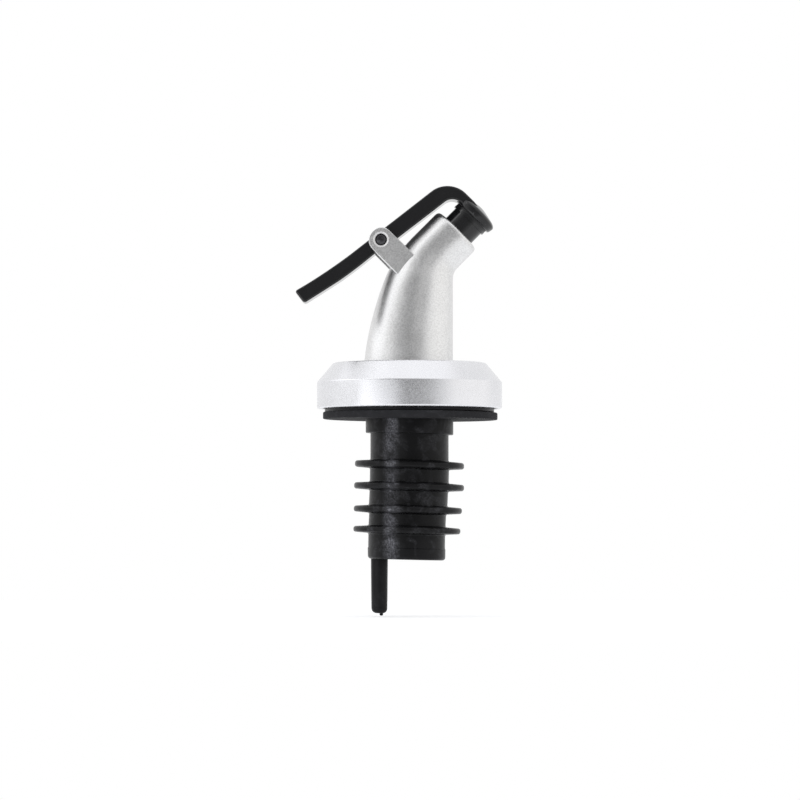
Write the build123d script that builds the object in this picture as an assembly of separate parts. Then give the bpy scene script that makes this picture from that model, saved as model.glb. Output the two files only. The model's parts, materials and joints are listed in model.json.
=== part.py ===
# Liquor pour spout: a rubber stopper on a hollow stem, a silver collar and an angled silver
# spout above it, and a black thumb lever whose nose keeps the mouth shut until it is pressed.
#
# Frame: the origin lies on the stopper's axis in the plane where the washer rests on the
# bottle's lip. +Z is up, +X is the way the spout pours, and sizes are in millimetres.
from build123d import *
from math import cos, hypot, radians, sin, sqrt
import os

os.makedirs("parts", exist_ok=True)

# ---- Fits ----
push_fit = 0.04  # radial gap of pieces that are pushed together and stay put
running_fit = 0.05  # radial gap of the lever on its pin
side_gap = 0.2  # lever to ear, each side
seat_gap = 0.02  # gap left round an O-ring in its groove

# ---- Washer and stopper ----
washer_radius = 17.9
washer_thickness = 1.55
washer_chamfer = 0.3
stopper_recess = 0.3  # how far the stopper's rim sinks into the washer
stopper_rim_radius = 8.85
stopper_rim_depth = 2.9
sleeve_radius = 7.95
sleeve_wall = 0.75
stopper_length = 29.0
stopper_lip_radius = 8.05
stopper_lip_height = 2.5
stopper_lip_rounding = 0.7
fin_radius = 11.0
fin_count = 4
fin_first_depth = 9.4  # middle of the top fin below the bottle's lip
fin_pitch = 4.45
fin_root_thickness = 1.4
fin_tip_thickness = 1.0
fin_cup_step = 0.18  # each fin turns up at its tip by this much more than the one above
key_depth = 0.3  # rib inside the sleeve that locks into the stem
key_height = 1.2
key_drop = 13.0  # middle of that rib below the bottle's lip

# ---- Stopper core: plate and stem in one moulding ----
plate_radius = 17.4
plate_lip_thickness = 0.8
plug_radius = 16.0  # part of the plate that is pushed up inside the collar
plug_height = 3.0
platform_radius = 13.5
platform_height = 2.05
stem_recess = 1.5  # the stem ends this far inside the sleeve
liquid_bore_radius = 4.2
liquid_bore_offset = 1.6
air_hole_radius = 0.6

# ---- Air way ----
breather_offset = 5.45  # behind the stopper's axis
breather_radius = 1.75
breather_bore_radius = 1.0
breather_reach = 39.8  # end of the tube below the bottle's lip
breather_end_rounding = 0.9
breather_socket_depth = 8.0
breather_nipple_length = 5.0
nub_radius = 0.35
nub_length = 0.6
nub_rounding = 0.28
nub_offset = 0.4
breather_port_radius = 0.7
breather_port_rise = 3.2  # middle of the side port above the tube's end
air_tube_radius = 1.0
air_tube_bore_radius = 0.65
air_tube_socket_depth = 4.0
air_tube_straight = 4.6  # straight rise above the platform before the tube leans
air_tube_drop = 1.8  # offset of the tube above the nozzle's axis
air_tube_bend_radius = 14.0
air_tube_knee = 15.8  # where the tube turns into the nozzle, back from the nozzle's face
air_tube_sink = 4.0  # the tube ends this far inside the mouth

# ---- Collar ring ----
collar_radius = 19.0
collar_band_height = 5.15
collar_chamfer_height = 4.1
collar_top_radius = 15.65
collar_top_wall = 2.0
collar_inner_radius = 14.0
collar_edge_rounding = 0.4

# ---- Spout body ----
foot_radius = 9.15
foot_set_back = 0.2  # the spout stands this far behind the stopper's axis
body_wall = 1.4
flange_radius = 13.4
elbow_radius = 7.0
elbow_rise = 17.4  # collar's top to where the front edge starts to lean
taper_start = 0.42  # share of the taper that is even; the rest grows with height
front_bend_radius = 3.0
rise_steps = 10  # sections of the rise
elbow_steps = 8
elbow_fade = 1.7  # how fast the elbow narrows: 1 is even, more narrows it early
nozzle_lean = 45.0
nozzle_radius = 5.3
nozzle_length = 5.55
nozzle_bevel = 0.4
throat_radius = 3.0

# ---- Pour tip ----
tip_radius = 3.7
tip_bore_radius = 2.9
tip_depth = 5.0
tip_reach = 3.5
tip_rim_radius = 4.05
tip_rim_thickness = 0.6
mouth_radius = 3.1
mouth_depth = 3.8
saddle_wall = 0.45
saddle_length = 2.5
saddle_step = 0.5  # the air tube stands this far out of its saddle

# ---- Ears and pivot ----
pivot_behind_face = 12.7  # along the nozzle's axis
pivot_above_axis = 9.7
ear_thickness = 1.1
ear_top = 2.5  # pivot to the ear's free end
ear_front = 2.63  # pivot to the ear's front edge
ear_back = 2.85
ear_root_depth = 8.2  # pivot to the ear's root inside the body
ear_front_rounding = 1.9  # corners of the free end
ear_back_rounding = 2.5
ear_rounding = 0.2
pin_radius = 1.2
pin_dome = 0.45
countersink = 0.45

# ---- Lever ----
lever_width = 7.0
arm_droop = 7.4  # the arm lies this much flatter than the nozzle
arm_top = 1.31  # pivot to the arm's upper face
arm_bottom = 1.74
tail_length = 20.3
tail_bend = 12.0  # where the tail starts to turn up, from the pivot
tail_bend_radius = 12.0
tail_top_end = 2.35
tail_bottom_root = 1.4
tail_bottom_end = 1.0
tail_corner = 0.7
hub_radius = 2.2
outer_bend_radius = 5.5
inner_bend_radius = 2.1
neck_thickness = 1.85
cap_radius = 4.65
cap_edge_height = 1.8
cap_dome = 0.82
cap_rounding = 0.8
cap_chamfer = 0.3
lever_rounding = 0.25
window_width = 3.0
window_radius = 2.1
neck_gap = 0.3  # the neck's underside stands this far above the cap's
leg_hole_gap = 0.1

# ---- Mouth seal ----
seal_radius = 4.0
seal_thickness = 0.5
seal_plug_radius = 2.2
seal_plug_height = 1.0

# ---- Torsion spring ----
wire_radius = 0.22
coil_radius = 1.6
coil_whole_turns = 3
coil_pitch = 0.5
tail_leg_length = 3.7
tail_leg_dip = 25.0  # degrees by which the leg dips into the tail
body_leg_length = 5.2
body_leg_lean = 5.0  # degrees by which the leg leans from straight down towards the spout

# ---- O-ring under the spout's foot ----
gasket_radius = 10.9
gasket_section = 0.8

# ---- Heights, from the bottle's lip up ----
plate_bottom = washer_thickness
plate_step = plate_bottom + plate_lip_thickness  # the collar sits here
plug_top = plate_step + plug_height
flange_bottom = plug_top + platform_height
collar_top = plate_step + collar_band_height + collar_chamfer_height
flange_top = collar_top - collar_top_wall
elbow_height = collar_top + elbow_rise
stem_radius = sleeve_radius - sleeve_wall - push_fit
stem_bottom = stem_recess - stopper_length
tolerance = 0.01  # how near an edge must lie to the place it is looked for
lever_half = lever_width / 2
ear_inner = lever_half + side_gap
ear_outer = ear_inner + ear_thickness


def section(lean, radius, front_x, front_z):
    """Round section of the spout, square to its centre line, whose front lies at a given point."""
    a = radians(lean)
    centre = (front_x - radius * cos(a), 0, front_z + radius * sin(a))
    return Plane(origin=centre, x_dir=(0, 1, 0), z_dir=(sin(a), 0, cos(a))), radius


def rise_sections(wall):
    """Level sections from the collar's top to the elbow; their front edge is upright."""
    result = []
    for step in range(rise_steps + 1):
        share = step / rise_steps
        taper = taper_start * share + (1 - taper_start) * share**2
        radius = foot_radius + (elbow_radius - foot_radius) * taper
        height = collar_top + elbow_rise * share
        result.append(section(0, radius - wall, front_line - wall, height))
    return result


def elbow_sections(wall, end_radius):
    """Sections that lean over into the nozzle round a small bend at the front edge."""
    result = []
    for step in range(elbow_steps + 1):
        share = step / elbow_steps
        lean = nozzle_lean * share
        fade = (1 - share) ** elbow_fade
        radius = end_radius + (elbow_radius - wall - end_radius) * fade
        bend = radians(lean)
        bend_x = front_line + front_bend_radius * (1 - cos(bend))
        bend_z = elbow_height + front_bend_radius * sin(bend)
        inset = nozzle_radius - end_radius + (wall + end_radius - nozzle_radius) * fade
        bend_x -= inset * cos(bend)
        bend_z += inset * sin(bend)
        result.append(section(lean, radius, bend_x, bend_z))
    return result


def spout_form(wall, end_radius, bevel):
    """Foot, rise, elbow and nozzle of the spout, shrunk by a wall.

    It is two lofts that meet halfway round the elbow, so that neither turns far.
    """
    sections = [section(0, foot_radius - wall, front_line - wall, flange_bottom)]
    sections += rise_sections(wall)
    meeting = len(sections) + elbow_steps // 2 - 1
    sections += elbow_sections(wall, end_radius)[1:]
    sections.append((nozzle_root.offset(nozzle_length - bevel), end_radius))
    if bevel:
        sections.append((nozzle_root.offset(nozzle_length), end_radius - bevel))
    circles = [plane * Circle(radius) for plane, radius in sections]
    return loft(circles[: meeting + 1], ruled=True) + loft(circles[meeting:], ruled=True)


front_line = foot_radius - foot_set_back
nozzle_root = elbow_sections(0, nozzle_radius)[-1][0]
nozzle_axis = nozzle_root.z_dir
face_centre = nozzle_root.origin + nozzle_axis * nozzle_length
across_axis = Vector(nozzle_axis.Z, 0, -nozzle_axis.X)  # down and forward, square to the nozzle


def nozzle_point(along, across):
    """Point beside the nozzle's axis: along from the nozzle's face, across down and forward."""
    return face_centre + nozzle_axis * along + across_axis * across


def nozzle_plane(along, across=0.0):
    """Plane square to the nozzle's axis."""
    return Plane(origin=nozzle_point(along, across), x_dir=(0, 1, 0), z_dir=nozzle_axis)


pivot = nozzle_point(-pivot_behind_face, -pivot_above_axis)
arm_lean = radians(90 - nozzle_lean - arm_droop)
arm_along = Vector(cos(arm_lean), 0, sin(arm_lean))
arm_up = Vector(-sin(arm_lean), 0, cos(arm_lean))


def arm_point(along, up):
    """Point of the lever: along its arm from the pivot towards the nose, and up from the arm."""
    return pivot + arm_along * along + arm_up * up


def upright(radius, low, high, x=0.0):
    """Solid round bar about an upright axis."""
    place = Pos(x, 0, low)
    return place * Cylinder(radius, high - low, align=(Align.CENTER, Align.CENTER, Align.MIN))


def ring(outer, inner, low, high):
    """Solid ring about the stopper's axis."""
    return upright(outer, low, high) - upright(inner, low, high)


def along_nozzle(radius, low, high, across=0.0):
    """Solid round bar along the nozzle's axis."""
    bar = Cylinder(radius, high - low, align=(Align.CENTER, Align.CENTER, Align.MIN))
    return nozzle_plane(low, across) * bar


def across_pivot(radius, half_length):
    """Solid round bar about the pivot's axis."""
    return Pos(pivot) * Rot(90, 0, 0) * Cylinder(radius, 2 * half_length)


def side_plate(points, low_y, high_y):
    """Plate with an outline of points in the XZ plane, from low_y to high_y."""
    flat = make_face(Polyline([(p.X, p.Z) for p in points], close=True))
    solid = extrude(flat, amount=high_y - low_y)
    return Pos(0, high_y, 0) * Rot(90, 0, 0) * solid


def turned(points):
    """Solid turned about Z from a closed outline of (radius, height) points."""
    flat = Plane.XZ * make_face(Polyline(points, close=True))
    return revolve(flat, Axis.Z)


# ---- Stopper side ----
def make_washer():
    edge = washer_radius - washer_chamfer
    nest = stopper_rim_radius + push_fit
    outline = [
        (stem_radius + push_fit, stopper_recess),
        (nest, stopper_recess),
        (nest, 0),
        (washer_radius, 0),
        (washer_radius, washer_thickness - washer_chamfer),
        (edge, washer_thickness),
        (stem_radius + push_fit, washer_thickness),
    ]
    return turned(outline)


def make_stopper():
    inner = sleeve_radius - sleeve_wall
    lip_top = stopper_lip_height - stopper_length
    outline = [
        (inner, stopper_recess),
        (stopper_rim_radius, stopper_recess),
        (stopper_rim_radius, -stopper_rim_depth),
        (sleeve_radius, -stopper_rim_depth),
        (sleeve_radius, lip_top),
        (stopper_lip_radius, lip_top),
        (stopper_lip_radius, stopper_lip_rounding - stopper_length),
        (stopper_lip_radius - stopper_lip_rounding, -stopper_length),
        (inner, -stopper_length),
    ]
    sleeve = turned(outline)
    middle = (inner + sleeve_radius) / 2
    for index in range(fin_count):
        height = -fin_first_depth - index * fin_pitch
        tip_height = height + index * fin_cup_step
        fin = [
            (middle, height - fin_root_thickness / 2),
            (sleeve_radius, height - fin_root_thickness / 2),
            (fin_radius, tip_height - fin_tip_thickness / 2),
            (fin_radius, tip_height + fin_tip_thickness / 2),
            (sleeve_radius, height + fin_root_thickness / 2),
            (middle, height + fin_root_thickness / 2),
        ]
        sleeve += turned(fin)
    key_low = -key_drop - key_height / 2
    return sleeve + ring(middle, inner - key_depth, key_low, key_low + key_height)


def make_core():
    """Plate under the collar and the stem that fills the stopper, with its two ways through."""
    outline = [
        (0, stem_bottom),
        (stem_radius, stem_bottom),
        (stem_radius, plate_bottom),
        (plate_radius, plate_bottom),
        (plate_radius, plate_step),
        (plug_radius, plate_step),
        (plug_radius, plug_top),
        (platform_radius, plug_top),
        (platform_radius, flange_bottom),
        (0, flange_bottom),
    ]
    core = turned(outline)
    # groove for the sleeve's key
    groove_low = -key_drop - key_height / 2 - push_fit
    groove_high = groove_low + key_height + 2 * push_fit
    core -= ring(stem_radius, stem_radius - key_depth, groove_low, groove_high)
    # liquid way
    core -= upright(liquid_bore_radius, stem_bottom, flange_bottom, liquid_bore_offset)
    # side groove for the breather tube, with its nipple at the top
    slot_top = stem_bottom + breather_socket_depth
    slot_radius = breather_radius + push_fit
    slot = upright(slot_radius, stem_bottom, slot_top, -breather_offset)
    slot += Pos(-breather_offset - stem_radius, 0, (stem_bottom + slot_top) / 2) * Box(
        2 * stem_radius, 2 * slot_radius, breather_socket_depth
    )
    core -= slot
    nipple_radius = breather_bore_radius - push_fit
    core += upright(nipple_radius, slot_top - breather_nipple_length, slot_top, -breather_offset)
    core -= upright(air_hole_radius, stem_bottom, flange_bottom, -breather_offset)
    # socket for the air tube
    socket_bottom = flange_bottom - air_tube_socket_depth
    socket_radius = air_tube_radius + push_fit
    core -= upright(socket_radius, socket_bottom, flange_bottom, -breather_offset)
    # groove for the O-ring
    half = gasket_section + seat_gap
    groove_floor = flange_bottom - 2 * half
    return core - ring(gasket_radius + half, gasket_radius - half, groove_floor, flange_bottom)


def make_gasket():
    return Pos(0, 0, flange_bottom - gasket_section - seat_gap) * Torus(
        gasket_radius, gasket_section
    )


def make_breather():
    top = stem_bottom + breather_socket_depth
    end = -breather_reach
    tube = upright(breather_radius, end, top, -breather_offset)
    tube = fillet(tube.edges().group_by(Axis.Z)[0], breather_end_rounding)
    bore_end = end + breather_port_rise - breather_port_radius
    tube -= upright(breather_bore_radius, bore_end, top, -breather_offset)
    port = Cylinder(
        breather_port_radius, 2 * breather_radius, align=(Align.CENTER, Align.CENTER, Align.MIN)
    )
    tube -= Pos(-breather_offset, 0, end + breather_port_rise) * Rot(-90, 0, 0) * port
    nub_top = end + breather_end_rounding
    nub = upright(nub_radius, end - nub_length, nub_top, nub_offset - breather_offset)
    nub = fillet(nub.edges().group_by(Axis.Z)[0], nub_rounding)
    return tube + nub


def make_air_tube():
    """Tube from the core's socket up inside the spout to its mouth."""
    start = Vector(-breather_offset, 0, flange_bottom - air_tube_socket_depth)
    lean_from = Vector(-breather_offset, 0, flange_bottom + air_tube_straight)
    knee = nozzle_point(-air_tube_knee, -air_tube_drop)
    end = nozzle_point(tip_reach - air_tube_sink, -air_tube_drop)
    path = FilletPolyline(start, lean_from, knee, end, radius=air_tube_bend_radius)
    outside = sweep(Plane(start) * Circle(air_tube_radius), path=path)
    inside = sweep(Plane(start) * Circle(air_tube_bore_radius), path=path)
    return outside - inside


# ---- Spout side ----
def make_collar():
    knee = plate_step + collar_band_height
    outline = [
        (0, flange_top),
        (collar_inner_radius, flange_top),
        (collar_inner_radius, plug_top),
        (plug_radius + push_fit, plug_top),
        (plug_radius + push_fit, plate_step),
        (collar_radius, plate_step),
        (collar_radius, knee),
        (collar_top_radius, collar_top),
        (0, collar_top),
    ]
    ring = turned(outline)
    widest = ring.edges().filter_by(GeomType.CIRCLE).group_by(SortBy.RADIUS)[-1]
    ring = fillet(widest, collar_edge_rounding)
    return ring - upright(foot_radius + push_fit, flange_top, collar_top, -foot_set_back)


def ear(side):
    """One ear of the clevis; side is 1 or -1."""
    top = -pivot_above_axis - ear_top
    root = -pivot_above_axis + ear_root_depth
    back = -pivot_behind_face - ear_back
    front = -pivot_behind_face + ear_front
    corners = [nozzle_point(*c) for c in ((front, top), (front, root), (back, root), (back, top))]
    low, high = sorted((side * ear_inner, side * ear_outer))
    plate = side_plate(corners, low, high)
    plate = fillet(cross_edges(plate, corners[0]), ear_front_rounding)
    plate = fillet(cross_edges(plate, corners[3]), ear_back_rounding)
    return fillet(plate.faces().sort_by(Axis.Y)[-1 if side > 0 else 0].edges(), ear_rounding)


def make_body():
    shell = spout_form(0, nozzle_radius, nozzle_bevel)
    shell += upright(flange_radius, flange_bottom, flange_top, -foot_set_back)
    for side in (-1, 1):
        shell += ear(side)
    shell -= spout_form(body_wall, throat_radius, 0)
    shell -= along_nozzle(tip_radius + push_fit, -tip_depth - seat_gap, 0)
    shell -= across_pivot(pin_radius + push_fit, ear_outer)
    for side in (-1, 1):
        cone = Cone(pin_radius + push_fit, pin_radius + push_fit + countersink, countersink)
        place = Pos(pivot.X, side * (ear_outer - countersink / 2), pivot.Z)
        shell -= place * Rot(-90 * side, 0, 0) * cone
    return shell


def make_tip():
    tip = along_nozzle(tip_radius, -tip_depth, tip_reach)
    tip += along_nozzle(tip_rim_radius, tip_reach - tip_rim_thickness, tip_reach)
    tip -= along_nozzle(tip_bore_radius, -tip_depth, tip_reach)
    # saddle that holds the end of the air tube against the bore's upper side
    saddle_end = tip_reach - air_tube_sink - saddle_step
    saddle_start = saddle_end - saddle_length
    socket_radius = air_tube_radius + push_fit
    saddle = along_nozzle(socket_radius + saddle_wall, saddle_start, saddle_end, -air_tube_drop)
    saddle &= along_nozzle((tip_radius + tip_bore_radius) / 2, saddle_start, saddle_end)
    tip += saddle
    tip -= along_nozzle(socket_radius, -tip_depth, saddle_end, -air_tube_drop)
    return tip - along_nozzle(mouth_radius, tip_reach - mouth_depth, tip_reach)


# ---- Lever ----
def make_lever():
    cap_low = tip_reach + seal_thickness
    neck_low = cap_low + neck_gap
    neck_top = neck_low + neck_thickness
    outer_corner = meet(arm_top, neck_top)
    inner_corner = meet(-arm_bottom, neck_low)
    corners = [
        arm_point(-tail_length, tail_top_end),
        arm_point(-tail_bend, arm_top),
        outer_corner,
        nozzle_point(neck_top, 0),
        nozzle_point(neck_low, 0),
        inner_corner,
        arm_point(hub_radius, -arm_bottom),
        arm_point(-hub_radius, -tail_bottom_root),
        arm_point(-tail_length + tail_corner, -tail_bottom_end),
        arm_point(-tail_length, -tail_bottom_end + tail_corner),
    ]
    bar = side_plate(corners, -lever_half, lever_half)
    bar = fillet(cross_edges(bar, outer_corner), outer_bend_radius)
    bar = fillet(cross_edges(bar, inner_corner), inner_bend_radius)
    bar = fillet(cross_edges(bar, arm_point(-tail_bend, arm_top)), tail_bend_radius)
    sides = [e for e in bar.edges() if abs(abs(e.center().Y) - lever_half) < tolerance]
    bar = fillet(sides, lever_rounding)
    bar += across_pivot(hub_radius, lever_half)
    bar += make_cap(cap_low)
    bar -= along_nozzle(seal_plug_radius + push_fit, cap_low, cap_low + seal_plug_height + seat_gap)
    window = Box(2 * window_radius, window_width, 4 * window_radius)
    bar -= Pos(pivot) * Rot(0, -90 + nozzle_lean + arm_droop, 0) * window
    bar -= across_pivot(pin_radius + running_fit, lever_half)
    start, direction = tail_leg()
    hole = Cylinder(
        wire_radius + leg_hole_gap,
        tail_leg_length + leg_hole_gap,
        align=(Align.CENTER, Align.CENTER, Align.MIN),
    )
    return bar - Plane(origin=pivot + start, z_dir=direction) * hole


def meet(up, along):
    """Where the line up above the arm meets the line along the nozzle's axis."""
    base = nozzle_point(along, 0)
    rise = (base - pivot).dot(arm_up) - up
    step = -rise / across_axis.dot(arm_up)
    return nozzle_point(along, step)


def cross_edges(solid, corner):
    """Edges of a side plate that run across it through a corner of its outline."""
    return [
        edge
        for edge in solid.edges().filter_by(Axis.Y)
        if hypot(edge.center().X - corner.X, edge.center().Z - corner.Z) < tolerance
    ]


def make_cap(low):
    """Round cap at the lever's nose, domed as part of a sphere."""
    edge_top = low + cap_edge_height
    sphere_radius = (cap_radius**2 + cap_dome**2) / (2 * cap_dome)
    middle = cap_radius / 2
    middle_top = edge_top + cap_dome - sphere_radius + sqrt(sphere_radius**2 - middle**2)
    outline = make_face(
        Polyline((0, edge_top + cap_dome), (0, low), (cap_radius, low), (cap_radius, edge_top))
        + ThreePointArc((cap_radius, edge_top), (middle, middle_top), (0, edge_top + cap_dome))
    )
    outline = fillet(outline.vertices().group_by(Axis.X)[-1].sort_by(Axis.Y)[-1], cap_rounding)
    outline = chamfer(outline.vertices().group_by(Axis.X)[-1].sort_by(Axis.Y)[0], cap_chamfer)
    return nozzle_plane(0) * revolve(Plane.XZ * outline, Axis.Z)


def make_seal():
    low = tip_reach
    seal = along_nozzle(seal_radius, low, low + seal_thickness)
    return seal + along_nozzle(seal_plug_radius, low, low + seal_thickness + seal_plug_height)


def make_pin():
    half = ear_outer - countersink / 2
    pin = across_pivot(pin_radius, half)
    ends = pin.edges().filter_by(GeomType.CIRCLE)
    return fillet(ends, pin_dome)


# ---- Spring ----
def around_pin(angle, radius, y):
    """Point round the pin's middle; angle in degrees, anticlockwise from +X with +Z up."""
    return Vector(radius * cos(radians(angle)), y, radius * sin(radians(angle)))


tail_leg_angle = 180 + 90 - nozzle_lean - arm_droop + tail_leg_dip
body_leg_angle = 270 + body_leg_lean
coil_turns = coil_whole_turns + (tail_leg_angle - body_leg_angle) % 360 / 360
coil_half = coil_turns * coil_pitch / 2


def tail_leg():
    """Start and direction of the leg that lies in the lever's tail."""
    return (
        around_pin(tail_leg_angle - 90, coil_radius, -coil_half),
        around_pin(tail_leg_angle, 1, 0),
    )


def body_leg():
    """Start and direction of the leg that presses on the spout's back."""
    return (
        around_pin(body_leg_angle + 90, coil_radius, coil_half),
        around_pin(body_leg_angle, 1, 0),
    )


def make_spring():
    """Coil round the pin, wound clockwise from the tail's leg to the body's."""
    start = around_pin(tail_leg_angle - 90, coil_radius, -coil_half)
    origin = Vector(0, -coil_half, 0)
    frame = Plane(origin=origin, x_dir=start - origin, z_dir=(0, 1, 0))
    path = frame * Helix(pitch=coil_pitch, height=2 * coil_half, radius=coil_radius)
    wire = Circle(wire_radius)
    spring = sweep(Plane(origin=path @ 0, z_dir=path % 0) * wire, path=path, is_frenet=True)
    for (root, direction), length in ((tail_leg(), tail_leg_length), (body_leg(), body_leg_length)):
        leg = Cylinder(wire_radius, length, align=(Align.CENTER, Align.CENTER, Align.MIN))
        spring += Plane(origin=root, z_dir=direction) * leg
        spring += Pos(root) * Sphere(wire_radius)
    return Pos(pivot) * spring


makers = {
    "collar_ring": make_collar,
    "spout_body": make_body,
    "sealing_washer": make_washer,
    "stopper": make_stopper,
    "stopper_core": make_core,
    "foot_o_ring": make_gasket,
    "breather_tube": make_breather,
    "air_tube": make_air_tube,
    "pour_tip": make_tip,
    "lever": make_lever,
    "mouth_seal": make_seal,
    "pivot_pin": make_pin,
    "torsion_spring": make_spring,
}

for name, make in makers.items():
    solid = make()
    export_step(solid, f"parts/{name}.step")
    print(name, len(solid.solids()), round(solid.volume, 2))
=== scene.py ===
# %% [markdown]
# # A bottle pour spout with a lever cap
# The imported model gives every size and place, in metres. This lesson dresses it: each step says
# what a piece or finish is on the real object, how it could be made, and why this way was chosen.

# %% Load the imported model
import json
import math

import bmesh
import bpy
from mathutils import Matrix, Vector


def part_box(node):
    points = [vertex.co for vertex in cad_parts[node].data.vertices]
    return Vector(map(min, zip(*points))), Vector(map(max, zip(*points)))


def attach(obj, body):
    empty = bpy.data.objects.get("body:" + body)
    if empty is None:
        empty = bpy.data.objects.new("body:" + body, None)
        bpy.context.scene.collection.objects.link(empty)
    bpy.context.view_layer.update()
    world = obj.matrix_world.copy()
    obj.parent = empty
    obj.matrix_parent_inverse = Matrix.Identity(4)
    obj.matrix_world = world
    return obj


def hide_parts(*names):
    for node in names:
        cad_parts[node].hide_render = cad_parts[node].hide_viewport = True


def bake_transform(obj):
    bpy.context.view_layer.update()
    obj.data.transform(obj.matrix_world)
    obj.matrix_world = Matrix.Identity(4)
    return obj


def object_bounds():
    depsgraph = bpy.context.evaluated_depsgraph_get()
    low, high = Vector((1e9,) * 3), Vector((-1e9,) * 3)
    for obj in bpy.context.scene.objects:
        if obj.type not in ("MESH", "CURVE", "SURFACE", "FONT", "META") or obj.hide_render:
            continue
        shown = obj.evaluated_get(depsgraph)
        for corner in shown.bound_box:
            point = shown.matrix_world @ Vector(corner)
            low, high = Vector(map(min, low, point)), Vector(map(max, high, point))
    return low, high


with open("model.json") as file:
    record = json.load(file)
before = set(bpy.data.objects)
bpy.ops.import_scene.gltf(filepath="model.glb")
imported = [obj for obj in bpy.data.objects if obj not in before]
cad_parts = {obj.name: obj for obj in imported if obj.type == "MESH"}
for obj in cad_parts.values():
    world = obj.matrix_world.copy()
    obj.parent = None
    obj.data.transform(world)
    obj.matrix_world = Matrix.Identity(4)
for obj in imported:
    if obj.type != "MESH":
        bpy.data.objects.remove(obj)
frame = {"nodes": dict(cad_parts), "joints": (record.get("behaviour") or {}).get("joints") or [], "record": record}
cad_box = [list(corner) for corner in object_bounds()]
nodes = frame["nodes"]
mm = 0.001
print("nodes:", sorted(nodes))

# %% [markdown]
# ## Places that every piece shares
# The record names the mouth's centre and the direction in which it pours, and the joint names the
# pivot. Pieces of the nozzle are made upright about the origin and then moved by one matrix.

# %% Nozzle and pivot
mounts = {mount["name"]: mount for mount in frame["record"]["mounts"]}
mouth = Vector(mounts["pour_mouth"]["pos_m"])
pour_way = Vector(mounts["pour_mouth"]["axis"]).normalized()
across_way = Vector((pour_way.z, 0, -pour_way.x))  # down and forward, square to the nozzle
pivot = Vector(frame["joints"][0]["pos_m"])
tip_reach = 3.5 * mm  # nozzle's face to the mouth
face_centre = mouth - pour_way * tip_reach
nozzle_lean = math.radians(45)
to_nozzle = Matrix.Translation(face_centre) @ Matrix.Rotation(nozzle_lean, 4, "Y")
print("mouth", mouth, "pivot", pivot)

# %% [markdown]
# ## Camera
# The spout stands upright and is seen straight from its side, by a long lens whose middle lies
# a little below the collar's height. A long lens keeps the two rims of the collar nearly level.

# %% Camera
view_width = 164.4 * mm  # what the frame takes in at the spout's distance
view_distance = 750 * mm
view_rise = math.radians(-2.0)  # the camera looks up by this much
view_middle = Vector((-1.95, 0, 4.0)) * mm
sensor_width = 36  # in millimetres, as a camera's data has it
nearest_view = 10 * mm
camera_data = bpy.data.cameras.new("camera")
camera_data.sensor_width = sensor_width
camera_data.lens = sensor_width * view_distance / view_width
camera_data.clip_start = nearest_view
camera = bpy.data.objects.new("camera", camera_data)
backward = Vector((0, -math.cos(view_rise), math.sin(view_rise)))
camera.location = view_middle + backward * view_distance
camera.rotation_mode = "QUATERNION"
camera.rotation_quaternion = (-backward).to_track_quat("-Z", "Y")
bpy.context.scene.collection.objects.link(camera)
bpy.context.scene.camera = camera
bpy.context.scene.view_settings.view_transform = "Standard"
print("lens", round(camera_data.lens, 1), "mm")

# %% [markdown]
# ## Light
# A product is best shown in a white room with large soft lamps, where only the corner behind the
# camera is dark. Polished and silvered pieces mirror that corner, which is what draws their grey
# middle. So the world is plain pale grey for light that scatters, white where
# the camera looks straight at it, and darker towards that corner where gloss or glass looks. The
# large lamps shade the forms, and a narrow strip high on the left draws the nozzle's bright line.

# %% Helpers for nodes


def add(tree, kind, inputs=(), **settings):
    """New shader node; inputs is a dict of values or of sockets to link."""
    made = tree.nodes.new("ShaderNode" + kind)
    for key, value in settings.items():
        setattr(made, key, value)
    for key, value in dict(inputs).items():
        if isinstance(value, bpy.types.NodeSocket):
            tree.links.new(value, made.inputs[key])
        else:
            made.inputs[key].default_value = value
    return made


def sum_of(tree, a, b):
    """a + b, each a value or a socket."""
    return add(tree, "Math", {0: a, 1: b}, operation="ADD").outputs[0]


def product(tree, a, b):
    """a times b, each a value or a socket."""
    return add(tree, "Math", {0: a, 1: b}, operation="MULTIPLY").outputs[0]


def ranged(tree, value, low, high, to_low=0.0, to_high=1.0, **settings):
    """A value mapped from one range onto another, and kept inside it."""
    spans = {"Value": value, "From Min": low, "From Max": high, "To Min": to_low, "To Max": to_high}
    return add(tree, "MapRange", spans, **settings).outputs["Result"]


def mixed(tree, share, a, b, blend="MIX"):
    """Colour between a and b; a Mix node's colour sockets are its inputs 6 and 7 and output 2."""
    made = add(tree, "Mix", {"Factor": share}, data_type="RGBA", blend_type=blend)
    for socket, value in ((made.inputs[6], a), (made.inputs[7], b)):
        if isinstance(value, bpy.types.NodeSocket):
            tree.links.new(value, socket)
        else:
            socket.default_value = value
    return made.outputs[2]


def seen_directly(tree):
    """1 where the camera, a glossy ray or a transmitted ray looks at the surface."""
    rays = add(tree, "LightPath").outputs
    seen = rays["Is Camera Ray"]
    for label in ("Is Glossy Ray", "Is Transmission Ray"):
        seen = add(tree, "Math", {0: seen, 1: rays[label]}, operation="ADD", use_clamp=True).outputs[0]
    return seen


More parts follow.
